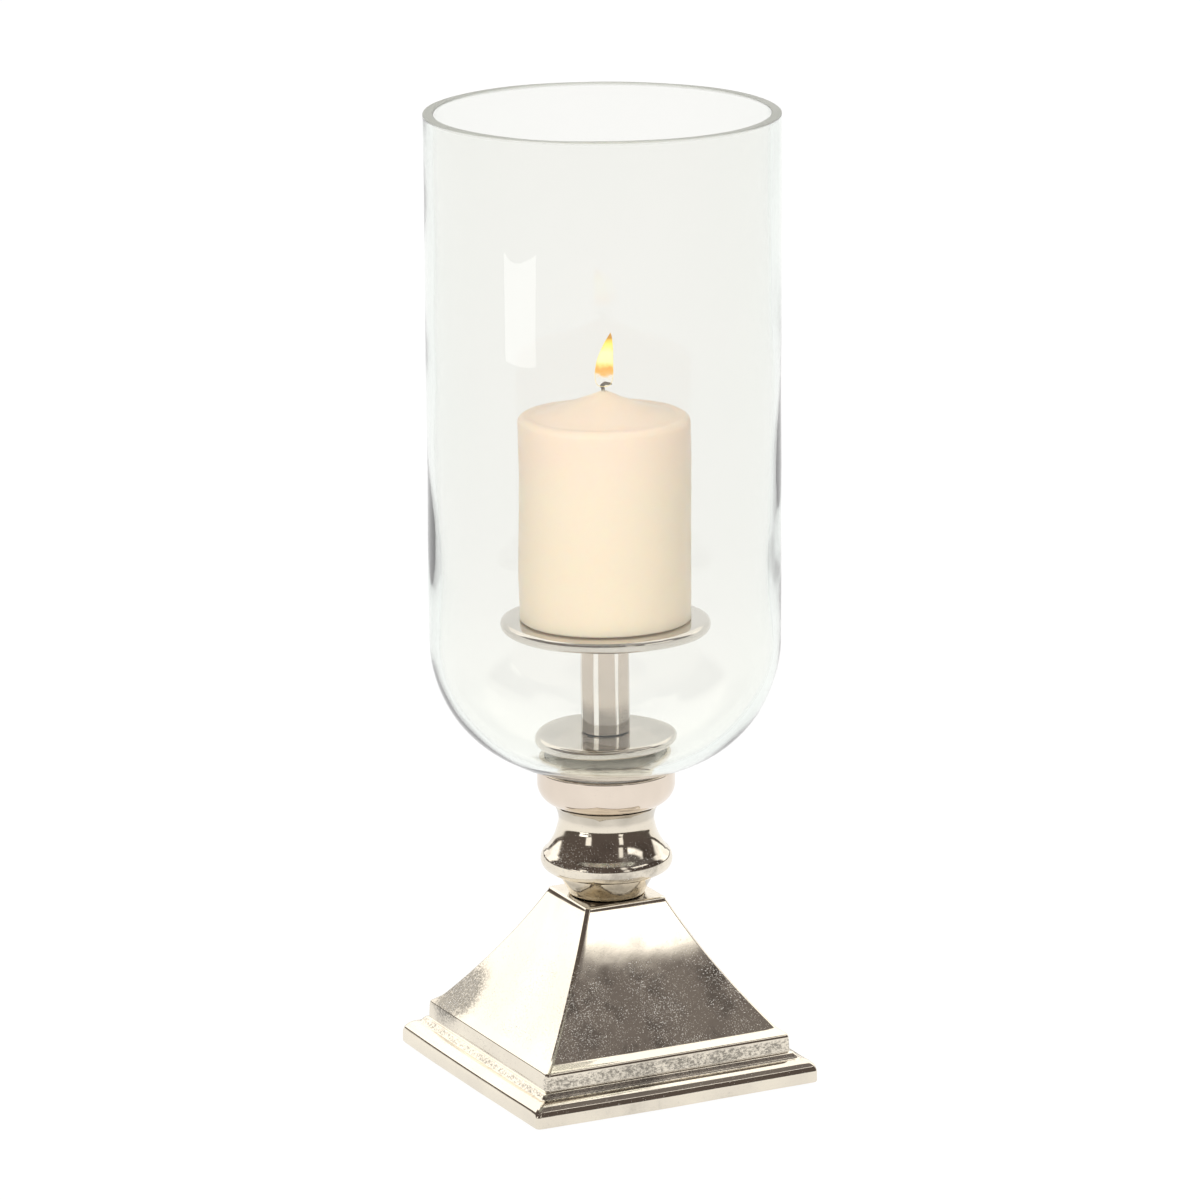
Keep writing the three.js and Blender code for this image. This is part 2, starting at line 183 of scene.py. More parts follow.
def ripple(piece, height, length, seed, where=None):
    """Moves points along their normals by smooth noise: the slight unevenness of handwork."""
    normals = [v.normal.copy() for v in piece.data.vertices]
    shift = Vector((seed * 7.3, seed * 3.1, seed * 5.7))
    for vertex, normal in zip(piece.data.vertices, normals):
        weight = where(vertex.co) if where else 1
        if weight:
            amount = noise.noise(vertex.co / length + shift) * height * weight
            vertex.co += normal * amount
    piece.data.update()


def finish_piece(piece, body, slot, material, *nodes):
    piece.data.materials.clear()
    piece.data.materials.append(material)
    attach(piece, body)
    if nodes:
        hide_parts(*nodes)


# ---- Node graphs --------------------------------------------------------------------------

MIX_BELOW, MIX_ABOVE, MIX_RESULT = 6, 7, 2


class Graph:
    """Adds and links nodes in one node tree."""

    def __init__(self, tree):
        self.nodes = tree.nodes
        self.links = tree.links

    def math(self, operation, *values):
        node = self.nodes.new("ShaderNodeMath")
        node.operation = operation
        for socket, value in zip(node.inputs, values):
            if isinstance(value, (int, float)):
                socket.default_value = value
            else:
                self.links.new(value, socket)
        return node.outputs[0]

    def spread(self, source, low, high, to_low=0.0, to_high=1.0, interpolation="SMOOTHSTEP"):
        """Maps low to high onto to_low to to_high, and stays level outside."""
        node = self.nodes.new("ShaderNodeMapRange")
        node.interpolation_type = interpolation
        for name, value in zip(("From Min", "From Max", "To Min", "To Max"),
                               (low, high, to_low, to_high)):
            node.inputs[name].default_value = value
        self.links.new(source, node.inputs["Value"])
        return node.outputs["Result"]

    def blend(self, amount, below, above):
        """A colour that goes from the linked colour below to the plain colour above."""
        node = self.nodes.new("ShaderNodeMix")
        node.data_type = "RGBA"
        self.links.new(amount, node.inputs["Factor"])
        self.links.new(below, node.inputs[MIX_BELOW])
        node.inputs[MIX_ABOVE].default_value = (*above, 1)
        return node.outputs[MIX_RESULT]


class Shader(Graph):
    """One material and its procedural nodes, laid out in the piece's own coordinates."""

    def __init__(self, name):
        self.material = bpy.data.materials.new(name)
        self.material.use_nodes = True
        super().__init__(self.material.node_tree)
        self.principled = self.nodes["Principled BSDF"]
        self.place = self.nodes.new("ShaderNodeTexCoord").outputs["Object"]

    def set(self, **values):
        for name, value in values.items():
            self.principled.inputs[name.replace("_", " ")].default_value = value

    def link(self, output, name):
        self.links.new(output, self.principled.inputs[name])

    def stretched(self, stretch):
        if stretch is None:
            return self.place
        node = self.nodes.new("ShaderNodeMapping")
        node.inputs["Scale"].default_value = stretch
        self.links.new(self.place, node.inputs["Vector"])
        return node.outputs["Vector"]

    def noise(self, scale, detail=2.0, rough=0.5, stretch=None):
        node = self.nodes.new("ShaderNodeTexNoise")
        node.inputs["Scale"].default_value = scale
        node.inputs["Detail"].default_value = detail
        node.inputs["Roughness"].default_value = rough
        self.links.new(self.stretched(stretch), node.inputs["Vector"])
        return node.outputs["Fac"]

    def axis(self, name):
        node = self.nodes.new("ShaderNodeSeparateXYZ")
        self.links.new(self.place, node.inputs["Vector"])
        return node.outputs[name]

    def height(self):
        return self.axis("Z")

    def faces(self, along, across):
        """1 on the side of a square pyramid that faces down the axis along, 0 on the others."""
        sides = self.math("ABSOLUTE", self.axis(across))
        return self.spread(self.math("ADD", self.axis(along), sides), 0, -2 * MM)

    def by_height(self, stops):
        """A value that follows (height, value) pairs."""
        reach = stops[-1][0]
        along = self.spread(self.height(), 0, reach, interpolation="LINEAR")
        return self.ramp(along, [(height / reach, (value,) * 3) for height, value in stops])

    def near(self, point, inner, outer):
        """1 within inner of a point, falling to 0 at outer."""
        node = self.nodes.new("ShaderNodeVectorMath")
        node.operation = "DISTANCE"
        self.links.new(self.place, node.inputs[0])
        node.inputs[1].default_value = point
        return self.spread(node.outputs["Value"], inner, outer, 1, 0)

    def ramp(self, source, stops):
        """Colours along a value: stops are (position, colour)."""
        node = self.nodes.new("ShaderNodeValToRGB")
        elements = node.color_ramp.elements
        while len(elements) < len(stops):
            elements.new(0.5)
        for element, (position, color) in zip(elements, stops):
            element.position = position
            element.color = (*color, 1)
        self.links.new(source, node.inputs["Fac"])
        return node.outputs["Color"]

    def bump(self, source, distance, strength=1.0, base=None):
        node = self.nodes.new("ShaderNodeBump")
        node.inputs["Distance"].default_value = distance
        node.inputs["Strength"].default_value = strength
        self.links.new(source, node.inputs["Height"])
        if base is not None:
            self.links.new(base, node.inputs["Normal"])
        return node.outputs["Normal"]


# ---- Materials ----------------------------------------------------------------------------

# Marks on the casting, and painted shade. The lists are (height, amount) pairs.
DULL_SPOT = (-54 * MM, 42 * MM, 31 * MM)
DULL_SPOT_CORE = 6 * MM
DULL_SPOT_REACH = 24 * MM
WORN = [(0, 0.1), (8 * MM, 0), (10.9 * MM, 0.1), (11.6 * MM, 0.75), (13.3 * MM, 0.75), (13.8 * MM, 0),
        (79.5 * MM, 0), (81.5 * MM, 0.3), (87 * MM, 0.1), (90.5 * MM, 0), (123 * MM, 0)]
PITTED = [(0, 0.15), (10 * MM, 0.4), (20.4 * MM, 0.7), (20.9 * MM, 0), (23.8 * MM, 0),
          (24.6 * MM, 0.9), (50 * MM, 1), (64 * MM, 0.45), (72 * MM, 0.05),
          (88 * MM, 0.2), (94 * MM, 0.8), (105 * MM, 0.75), (112 * MM, 0.1)]
# SHADED darkens the plate evenly: a little near the foot, and as painted shade much more at the neck
# above the pyramid and under the cup, where the metal looks dark from the dark things it reflects and
# from the cup's shade.
SHADED = [(0, 0.15), (5.4 * MM, 0.15), (6.4 * MM, 0), (80.6 * MM, 0), (81.2 * MM, 1.3),
          (88 * MM, 1.1), (91 * MM, 0), (112 * MM, 0), (115.5 * MM, 0.25), (117.5 * MM, 1.1),
          (122.2 * MM, 1.3)]
TIER_WORN = [(14.2 * MM, 0), (14.8 * MM, 0.85), (19.4 * MM, 0.85), (20.6 * MM, 0)]
TIER_FRONT = (-56 * MM, -59 * MM)

# Painted highlights on a drawn piece: bright stripes standing in for reflected light; how many go
# round it, and where one of them is
HIGHLIGHT_STRIPES = 7
HIGHLIGHT_STRIPE_AT = math.radians(-140.4)

# GLINT is the near-white of painted highlights: the pits' glints and the stripes up a drawn piece.
GLINT = (0.97, 0.94, 0.90)
PIT_LEVEL = 0.80
DARKEST_SHARE = 0.38


def tier_wear(shader):
    """The band of wear along the front side of the casting's upper step."""
    front = shader.spread(shader.axis("Y"), *TIER_FRONT)
    return shader.math("MULTIPLY", shader.by_height(TIER_WORN), front)


def nickel(name, light, dark, rough, share, worn=None, pitted=None, shaded=None, highlight_stripes=False):
    """Polished nickel plate with a share of fine casting pits: bumped and rougher, with a glint
    painted on as a near-white base colour.

    worn, pitted and shaded list (height, amount) pairs: where the plate is dull, browner and
    gritty, how crowded its pits are, and where painted shade makes it evenly darker. streaks
    paints bright highlight stripes up a round piece, standing in for reflected light.
    """
    shader = Shader(name)
    shader.set(Metallic=1.0)
    cloud = shader.spread(shader.noise(28, 3), 0.3, 0.7)
    haze = shader.spread(shader.noise(60, 4, 0.6), 0.35, 0.75, rough, rough * 2.2)
    crowd = shader.spread(shader.noise(42, 4, 0.6), 0.34, 0.66, 0.45, 1)
    # Painted shade: the shaded list darkens the plate evenly where it says.
    if shaded:
        cloud = shader.math("SUBTRACT", cloud, shader.by_height(shaded))
    if worn:
        spot = shader.math("MULTIPLY", shader.near(DULL_SPOT, DULL_SPOT_CORE, DULL_SPOT_REACH),
                           shader.faces("X", "Y"))
        rough_cast = shader.by_height(pitted)
        crowd = shader.math("MAXIMUM", shader.math("MULTIPLY", crowd, rough_cast), spot)
        grit = shader.spread(shader.noise(700, 4, 0.7, (1, 1, 1.6)), 0.36, 0.64, 0, 1)
        sheltered = shader.math("ADD", shader.by_height(worn), tier_wear(shader))
        wear = shader.math("MULTIPLY", shader.math("MAXIMUM", sheltered, spot), grit)
        cloud = shader.math("SUBTRACT", cloud, shader.math("MULTIPLY", wear, 2.4))
        cloud = shader.math("SUBTRACT", cloud, shader.math("MULTIPLY", spot, 1.5))
        mottle = shader.spread(shader.noise(65, 4, 0.6), 0.42, 0.66, 0, 1.5)
        mottle = shader.math("MULTIPLY", mottle,
                             shader.math("MULTIPLY", rough_cast, shader.faces("Y", "X")))
        cloud = shader.math("SUBTRACT", cloud, mottle)
        haze = shader.math("ADD", haze, shader.math("MULTIPLY", wear, 0.2))
    # Painted highlight: each pit is coloured near-white as its glint, besides its bump and extra
    # roughness.
    edge = shader.math("SUBTRACT", PIT_LEVEL, shader.math("MULTIPLY", crowd, share))
    grain = shader.noise(1900, 1, 0.5)
    glint = shader.spread(shader.math("SUBTRACT", grain, edge), -0.015, 0.04)
    plate = shader.ramp(shader.spread(cloud, -1.6, 1.0, interpolation="LINEAR"), [
        (0.0, tuple(DARKEST_SHARE * c for c in dark)), (0.6, dark), (1.0, light)])
    # Painted highlight: near-white stripes up the piece, standing in for reflections.
    if highlight_stripes:
        around = shader.math("ARCTAN2", shader.axis("Y"), shader.axis("X"))
        around = shader.math("SUBTRACT", around, HIGHLIGHT_STRIPE_AT)
        wave = shader.math("COSINE", shader.math("MULTIPLY", around, HIGHLIGHT_STRIPES))
        waver = shader.spread(shader.noise(420, 2, 0.5, (1, 1, 0.02)), 0.3, 0.7, -0.25, 0.25)
        wave = shader.math("ADD", wave, waver)
        plate = shader.blend(shader.spread(wave, 0.72, 0.98), plate, GLINT)
    # Painted highlight: the pits are coloured near-white.
    shader.link(shader.blend(glint, plate, GLINT), "Base Color")
    shader.link(shader.math("ADD", haze, shader.math("MULTIPLY", glint, 0.3)), "Roughness")
    normal = shader.bump(shader.noise(85, 2), 0.03 * MM)
    normal = shader.bump(glint, 0.12 * MM, 1, normal)
    shader.link(shader.bump(shader.noise(900, 3), 0.003 * MM, 1, normal), "Normal")
    return shader.material


def steel(name):
    shader = Shader(name)
    shader.set(Metallic=1.0)
    shader.link(shader.ramp(shader.noise(90, 3), [
        (0.3, (0.42, 0.42, 0.41)), (0.7, (0.60, 0.60, 0.58)),
    ]), "Base Color")
    shader.link(shader.spread(shader.noise(300, 3), 0.3, 0.7, 0.28, 0.45), "Roughness")
    shader.link(shader.bump(shader.noise(2200, 2, 0.5, (1, 1, 0.15)), 0.02 * MM), "Normal")
    return shader.material


def clear_glass(foot, rim):
    """Clear soda glass with a faint green cast and a ground rim."""
    shader = Shader("clear_glass")
    shader.set(Transmission_Weight=1.0, IOR=1.5)
    # Painted light: the glass is tinted lighter and warmer near its foot, for how bright the lower
    # glass looks.
    shader.link(shader.ramp(shader.spread(shader.height(), foot, rim, interpolation="LINEAR"), [
        (0.0, (0.98, 0.965, 0.945)), (0.14, (0.985, 0.965, 0.945)), (0.3, (0.955, 0.935, 0.92)),
        (0.996, (0.955, 0.935, 0.92)), (0.999, (0.60, 0.62, 0.55)),
    ]), "Base Color")
    frosted = shader.spread(shader.height(), rim - 1.2 * MM, rim - 0.4 * MM, 1, 0.5)
    shader.link(frosted, "Transmission Weight")
    smears = shader.spread(shader.noise(160, 3), 0.6, 0.8, 0.0, 0.03)
    ground = shader.spread(shader.height(), rim - 1.3 * MM, rim - 0.5 * MM, 0, 0.4)
    shader.link(shader.math("ADD", smears, ground), "Roughness")
    shader.link(shader.bump(shader.noise(45, 1), 0.04 * MM), "Normal")
    absorb = shader.nodes.new("ShaderNodeVolumeAbsorption")
    absorb.inputs["Color"].default_value = (0.48, 0.84, 0.72, 1)
    absorb.inputs["Density"].default_value = 13
    output = shader.nodes["Material Output"]
    shader.links.new(absorb.outputs["Volume"], output.inputs["Volume"])
    return shader.material


def wax(bottom, top):
    shader = Shader("ivory_wax")
    # Painted light: a faint warm emission all over the wax stands in for the flame's light glowing
    # through it.
    shader.set(Subsurface_Weight=0.35, Subsurface_Radius=(1.0, 0.55, 0.3), Subsurface_Scale=0.008,
               IOR=1.44, Emission_Color=(1, 0.84, 0.64, 1), Emission_Strength=0.07)
    up = shader.spread(shader.height(), bottom, top)
    cloud = shader.spread(shader.noise(26, 3), 0.2, 0.8, -0.08, 0.08)
    shader.link(shader.ramp(shader.math("ADD", up, cloud), [
        (0.0, (0.925, 0.785, 0.60)),
        (0.62, (0.935, 0.79, 0.615)),
        (0.9, (0.96, 0.77, 0.615)),
    ]), "Base Color")
    shader.link(shader.spread(shader.noise(120, 3), 0.3, 0.7, 0.30, 0.48), "Roughness")
    dents = shader.bump(shader.noise(55, 3), 0.25 * MM)
    shader.link(shader.bump(shader.noise(900, 3), 0.015 * MM, 1, dents), "Normal")
    return shader.material


def cotton(burnt_from, burnt_to):
    shader = Shader("wick_cotton")
    shader.set(Roughness=0.9)
    burnt = shader.spread(shader.height(), burnt_from, burnt_to)
    mottle = shader.spread(shader.noise(1500, 2), 0.3, 0.7, -0.15, 0.15)
    shader.link(shader.ramp(shader.math("ADD", burnt, mottle), [
        (0.1, (0.72, 0.64, 0.50)), (0.5, (0.16, 0.135, 0.11)), (0.95, (0.10, 0.085, 0.075)),
    ]), "Base Color")
    shader.link(shader.bump(shader.noise(2600, 3), 0.12 * MM), "Normal")
    return shader.material


def soft(name, dark, light, scale):
    shader = Shader(name)
    shader.link(shader.ramp(shader.noise(scale, 4, 0.65), [(0.3, dark), (0.7, light)]), "Base Color")
    shader.link(shader.spread(shader.noise(scale * 0.4, 2), 0.3, 0.7, 0.75, 0.95), "Roughness")
    shader.link(shader.bump(shader.noise(scale, 3), 0.08 * MM), "Normal")
    return shader.material


def fire(bottom, top):
    shader = Shader("flame_glow")
    shader.set(Base_Color=(0, 0, 0, 1), Roughness=1.0, Specular_IOR_Level=0.0, Emission_Strength=1.26)
    up = shader.spread(shader.height(), bottom, top)
    swirl = shader.spread(shader.noise(260, 2), 0.3, 0.7, -0.04, 0.04)
    along = shader.math("ADD", up, swirl)
    core = shader.ramp(along, [
        (0.0, (1.0, 0.88, 0.62)), (0.09, (1.0, 0.86, 0.52)), (0.17, (0.90, 0.46, 0.08)),
        (0.27, (0.86, 0.42, 0.08)), (0.37, (1.0, 0.76, 0.22)), (0.48, (0.96, 0.93, 0.46)),
        (0.7, (0.94, 0.94, 0.48)), (0.86, (0.97, 0.84, 0.16)), (0.95, (0.84, 0.48, 0.05)),
        (1.0, (0.62, 0.30, 0.05)),
    ])
    weight = shader.nodes.new("ShaderNodeLayerWeight")
    weight.inputs["Blend"].default_value = 0.45
    facing = weight.outputs["Facing"]
    edge = shader.spread(facing, 0.35, 0.95, 0, 0.8)
    shader.link(shader.blend(edge, core, (0.88, 0.62, 0.13)), "Emission Color")
    body = shader.ramp(along, [
        (0.0, (0.03, 0.03, 0.03)), (0.09, (0.06, 0.06, 0.06)), (0.17, (0.85, 0.85, 0.85)),
        (0.9, (0.95, 0.95, 0.95)),
    ])
    rim = shader.spread(facing, 0.4, 0.78, 0, 0.85)
    shader.link(shader.math("MAXIMUM", body, rim), "Alpha")
    return shader.material


CAST = nickel("cast_nickel", (0.86, 0.79, 0.66), (0.76, 0.695, 0.59), 0.06, 0.19, WORN, PITTED,
              SHADED)
SPUN = nickel("spun_nickel", (0.80, 0.70, 0.60), (0.71, 0.62, 0.53), 0.05, 0.02)
# The drawn post is painted darker over its lower part as painted shade, and gets painted highlight
# stripes up it.
DRAWN = nickel("drawn_nickel", (0.70, 0.62, 0.55), (0.60, 0.53, 0.46), 0.07, 0.03,
               shaded=[(0, 2), (post_low.z + 10 * MM, 1.7), (post_low.z + 18 * MM, 0.4),
                       (post_low.z + 24 * MM, 0), (post_high.z, 0)], highlight_stripes=True)
BRIGHT = nickel("polished_nickel", (0.72, 0.68, 0.63), (0.63, 0.59, 0.54), 0.05, 0.02)
STEEL = steel("zinc_steel")
GLASS = clear_glass(glass_low.z, glass_high.z)
WAX = wax(wax_low.z, wax_high.z)
WICK = cotton(wax_high.z - 1 * MM, wax_high.z + 2.5 * MM)
SILICONE = soft("silicone", (0.38, 0.36, 0.33), (0.52, 0.50, 0.46), 500)
FELT = soft("felt", (0.04, 0.034, 0.03), (0.11, 0.095, 0.08), 900)


# ---- Base casting -------------------------------------------------------------------------

CORNER_STEPS = 8
SIDE_STEPS = 30


def square_ring(half, corner, z, bow=0.0):
    """A square with rounded corners whose sides bulge by bow in the middle."""
    points = []
    for quarter in range(4):
        turn = Matrix.Rotation(math.radians(90 * quarter), 3, "Z")
        for i in range(CORNER_STEPS + 1):
            angle = math.radians(90 * i / CORNER_STEPS)
            points.append(turn @ Vector((half - corner + corner * math.cos(angle),
                                         half - corner + corner * math.sin(angle), z)))
        for i in range(1, SIDE_STEPS):
            across = 1 - 2 * i / SIDE_STEPS
            bulge = half + bow * (1 - across ** 2)
            points.append(turn @ Vector(((half - corner) * across, bulge, z)))
    return points


def round_ring(radius, z):
    """A circle with as many points as a square ring, so that one can follow the other."""
    ring = []
    for p in square_ring(1, 0.1, 0):
        flat = Vector((p.x, p.y, 0)).normalized() * radius
        ring.append(Vector((flat.x, flat.y, z)))
    return ring


PLINTH_EDGE = 5.8 * MM
PLINTH_TOP = 11 * MM
PLINTH_BOW = 0.8 * MM
UPPER_BOW = 0.2 * MM
TIER_HALF = 61.3 * MM
TIER_SHOULDER = 20.2 * MM
PYRAMID_FOOT_HALF = 55.9 * MM
PYRAMID_FOOT = 24.6 * MM
PYRAMID_HEAD = 19.3 * MM
PYRAMID_SAG = 2.15 * MM
HEAD_ROUND = 1.2 * MM
WALL = 5 * MM
CEILING = base_high.z - 10 * MM
WASHER_SEAT = 13 * MM


def pyramid_half(z):
    """Half the pyramid's width at a height: straight sides that sag inwards in the middle."""
    t = (z - PYRAMID_FOOT) / (base_high.z - PYRAMID_FOOT)
    straight = PYRAMID_FOOT_HALF + (PYRAMID_HEAD - PYRAMID_FOOT_HALF) * t
    return straight - PYRAMID_SAG * 4 * t * (1 - t)


def base_outline():
    """(half side, height) of the casting's outside, from its foot to the pyramid's flat top."""
    plinth = base_high.x - PLINTH_BOW
    low = base_low.z
    outer = [(plinth - 0.7 * MM, low), (plinth - 0.2 * MM, low + 0.2 * MM),
             (plinth, low + 0.7 * MM)]
    outer += line((plinth, low + 1.2 * MM), (plinth, PLINTH_EDGE - 0.5 * MM), 4)
    outer += bend((plinth, PLINTH_EDGE), [
        (0, 11, 0.3 * MM), (11, 24, 2.2 * MM), (24, 33, 0.15 * MM), (33, 57, 2.9 * MM),
        (57, 88, 3.1 * MM), (86, 30, 0.7 * MM),
        (30, 44, 2.3 * MM), (44, 76, 0.5 * MM), (76, 74, 0.8 * MM), (70, 2, 0.5 * MM),
        (2, 3, 6.1 * MM), (3, 11, 0.2 * MM), (11, 24, 0.9 * MM), (22, 50, 0.5 * MM),
    ])
    outer += line((outer[-1][0] - 0.6 * MM, outer[-1][1] + 0.35 * MM),
                  (PYRAMID_FOOT_HALF + 0.7 * MM, PYRAMID_FOOT - 0.45 * MM), 6)
    outer.append((PYRAMID_FOOT_HALF + 0.12 * MM, PYRAMID_FOOT + 0.05 * MM))
    steps = 44
    for i in range(1, steps + 1):
        z = PYRAMID_FOOT + (base_high.z - HEAD_ROUND - PYRAMID_FOOT) * i / steps
        outer.append((pyramid_half(z), z))
    top = pyramid_half(base_high.z - HEAD_ROUND)
    outer += arc(top - HEAD_ROUND, base_high.z - HEAD_ROUND, HEAD_ROUND, 30, 90, 5)
    return outer


def make_base():
    """The casting: its outside, the rod's hole through its top, and the hollow under it."""
    low = base_low.z
    rings = []
    for half, z in base_outline():
        corner, bow = (2.0 * MM, PLINTH_BOW) if z < PLINTH_TOP else (1.7 * MM, UPPER_BOW)
        rings.append(square_ring(half, corner, z, bow))
    rings += [square_ring(PYRAMID_HEAD - 4 * MM, 1.2 * MM, base_high.z)]
    rings += [round_ring(r, base_high.z) for r in (WASHER_SEAT, ROD_HOLE)]
    rings += [round_ring(r, CEILING) for r in (ROD_HOLE, WASHER_SEAT)]
    inner = [(pyramid_half(CEILING) - 1.5 * WALL, CEILING)]
    for i in range(1, 9):
        z = CEILING + (TIER_SHOULDER - WALL - CEILING) * i / 8
        t_half = pyramid_half(max(z, PYRAMID_FOOT)) - 1.5 * WALL
        inner.append((min(t_half, TIER_HALF - 1.6 * WALL), z))
    inner.append((base_high.x - 2.2 * WALL - pad_width / 2, low))
    rings += [square_ring(half, 3 * MM, z) for half, z in inner]
    piece = make_object("base_casting", flatten(rings), skin(rings, True), 40)
    ripple(piece, 0.25 * MM, 48 * MM, 1)
    ripple(piece, 0.05 * MM, 13 * MM, 2)
    cut_pad_pockets(piece)
    return piece


def cut_pad_pockets(piece):
    """Sinks a round pocket for each foot pad, with a little air round the pad."""
    gap = 0.3 * MM
    cutters = []
    for number in range(1, 5):
        low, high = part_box(f"foot_pad_{number}")
        middle = (low + high) / 2
        reach = high.z - low.z + gap
        outline = [(pad_width / 2 + gap, -1 * MM), (pad_width / 2 + gap, reach)]
        cutter = make_object("cutter", *capped(spun_rings(outline, 32)))
        cutter.location = (middle.x, middle.y, 0)
        cutters.append(cutter)
    for cutter in cutters:
        modifier = piece.modifiers.new("pocket", "BOOLEAN")
        modifier.operation = "DIFFERENCE"
        modifier.object = cutter
        modifier.solver = "EXACT"
    settle(piece)
    for cutter in cutters:
        bpy.data.objects.remove(cutter)


def settle(piece):
    """Makes the result of a piece's modifiers its own mesh."""
    bpy.context.view_layer.update()
    graph = bpy.context.evaluated_depsgraph_get()
    mesh = bpy.data.meshes.new_from_object(piece.evaluated_get(graph))
    piece.modifiers.clear()
    piece.data = mesh


finish_piece(make_base(), "base", "nickel", CAST, "pyramid_base")


# ---- Baluster, cup and support ------------------------------------------------------------

def make_baluster():
    bottom, top = stem_low.z, stem_high.z
    bead = stem_high.x
    bead_round = 5.7 * MM
    bead_height = 96.9 * MM
    outline = [(ROD_HOLE, bottom), (16.4 * MM, bottom), (17 * MM, bottom + 0.2 * MM)]
    outline += through([
        (17.3 * MM, bottom + 0.8 * MM), (17.9 * MM, bottom + 2.2 * MM), (19.1 * MM, bottom + 4.4 * MM),
        (20.5 * MM, bottom + 6.8 * MM), (21.3 * MM, bottom + 8.2 * MM), (22 * MM, bottom + 9.4 * MM),
    ], 5)
    outline += arc(bead - bead_round, bead_height, bead_round, -100, 38, 22)
    outline += through([
        (26.9 * MM, 101.6 * MM), (24.9 * MM, 104.6 * MM), (23.2 * MM, 108 * MM),
        (22.1 * MM, 111.4 * MM), (21.5 * MM, 113.8 * MM), (21.4 * MM, 115.6 * MM),
        (21.6 * MM, 117.4 * MM), (22.1 * MM, 119.2 * MM), (22.8 * MM, 120.9 * MM),
        (23.5 * MM, top - 0.3 * MM),
    ], 5)
    outline += [(23.3 * MM, top), (ROD_HOLE, top)]
    piece = turned("baluster_fine", outline, 160)
    ripple(piece, 0.22 * MM, 14 * MM, 3, lambda p: p.z < 112 * MM)
    return piece


def make_cup():
    wall = 2.6 * MM
    bowl = 9.5 * MM
    rim = 0.9 * MM
    outside = cup_high.x
    floor = 133.3 * MM
    outline = [(ROD_HOLE, cup_low.z), (21.4 * MM, cup_low.z)]
    outline += arc(outside - bowl, cup_low.z + bowl, bowl, -88, 0, 18)
    outline += line((outside, cup_low.z + bowl + 1 * MM), (outside, cup_high.z - rim - 0.5 * MM), 4)
    outline += arc(outside - rim, cup_high.z - rim, rim, 0, 90, 6)
    outline += arc(outside - wall + 0.4 * MM, cup_high.z - 0.4 * MM, 0.4 * MM, 90, 180, 4)
    outline += [(outside - wall, floor + 0.5 * MM), (outside - wall - 0.5 * MM, floor),
                (ROD_HOLE, floor)]
    piece = turned("cup_fine", outline, 160)
    ripple(piece, 0.1 * MM, 22 * MM, 4)
    return piece


def make_flange():
    edge = 4.5 * MM
    outside = flange_high.x
    outline = [(ROD_HOLE, flange_low.z), (22 * MM, flange_low.z)]
    outline += through([(22.4 * MM, flange_low.z + 0.4 * MM), (23 * MM, flange_low.z + 1.6 * MM),
                        (25 * MM, flange_high.z - edge)], 4)
    outline += arc(outside - edge / 2, flange_high.z - edge / 2, edge / 2, -86, 90, 16)
    outline += line((outside - edge, flange_high.z), (12 * MM, flange_high.z), 8)
    outline += [(ROD_HOLE, flange_high.z)]
    piece = turned("clamp_flange_fine", outline, 128)
    ripple(piece, 0.12 * MM, 18 * MM, 5)
    return piece


def make_post():
    radius = post_high.x
    bore = 4.35 * MM
    screw_bore = 2.9 * MM
    neck = post_high.z - 20 * MM
    outline = [(bore, post_low.z), (radius - 0.5 * MM, post_low.z), (radius, post_low.z + 0.5 * MM)]
    outline += line((radius, post_low.z + 1 * MM), (radius, post_high.z - 1 * MM), 20)
    outline += [(radius, post_high.z - 0.5 * MM), (radius - 0.5 * MM, post_high.z),
                (screw_bore, post_high.z), (screw_bore, neck), (bore, neck - 2 * MM)]
    piece = turned("post_fine", outline, 96)
    ripple(piece, 0.08 * MM, 16 * MM, 6)
    return piece


def make_plate():
    outside = plate_high.x
    thick = plate_high.z - plate_low.z
    hole = 3 * MM
    outline = [(hole, plate_low.z)]
    outline += line((14 * MM, plate_low.z), (outside - thick, plate_low.z), 6)
    outline += arc(outside - thick / 2, plate_high.z - thick / 2, thick / 2, -86, 86, 20)
    outline += line((outside - thick, plate_high.z), (10 * MM, plate_high.z), 12)
    outline += [(5.6 * MM, plate_high.z), (hole, plate_high.z - 3 * MM)]
    piece = turned("candle_plate_fine", outline, 160)
    ripple(piece, 0.14 * MM, 20 * MM, 7)
    return piece


finish_piece(make_baluster(), "base", "nickel", CAST, "baluster")
finish_piece(make_cup(), "base", "nickel", SPUN, "glass_cup")
finish_piece(make_flange(), "support", "nickel", BRIGHT, "clamp_flange")
finish_piece(make_post(), "support", "nickel", DRAWN, "post")
finish_piece(make_plate(), "support", "nickel", BRIGHT, "candle_plate")


# ---- Glass --------------------------------------------------------------------------------

def make_glass():
    wall = 4.5 * MM
    corner = 59 * MM
    rim = 0.7 * MM
    hole = 7 * MM
    outside = glass_high.x
    inside = outside - wall
    corner_r = outside - corner
    corner_z = glass_low.z + corner
    top = glass_high.z
    outline = line((hole, glass_low.z), (corner_r - 1.5 * MM, glass_low.z), 4)
    outline += arc(corner_r, corner_z, corner, -90, 0, 40)
    outline += line((outside, corner_z + 6 * MM), (outside, top - rim - 1 * MM), 30)
    outline += arc(outside - rim, top - rim, rim, 0, 80, 5)
    outline += arc(inside + rim, top - rim, rim, 100, 180, 5)
    outline += line((inside, top - rim - 1 * MM), (inside, corner_z + 6 * MM), 30)
    outline += arc(corner_r, corner_z, corner - wall, 0, -90, 40)
    outline += line((corner_r - 1.5 * MM, glass_low.z + wall), (hole, glass_low.z + wall), 4)
    piece = turned("glass_fine", outline, 192)
    ripple(piece, 0.3 * MM, 45 * MM, 8, lambda p: p.z > glass_low.z + 6 * MM)
    return piece


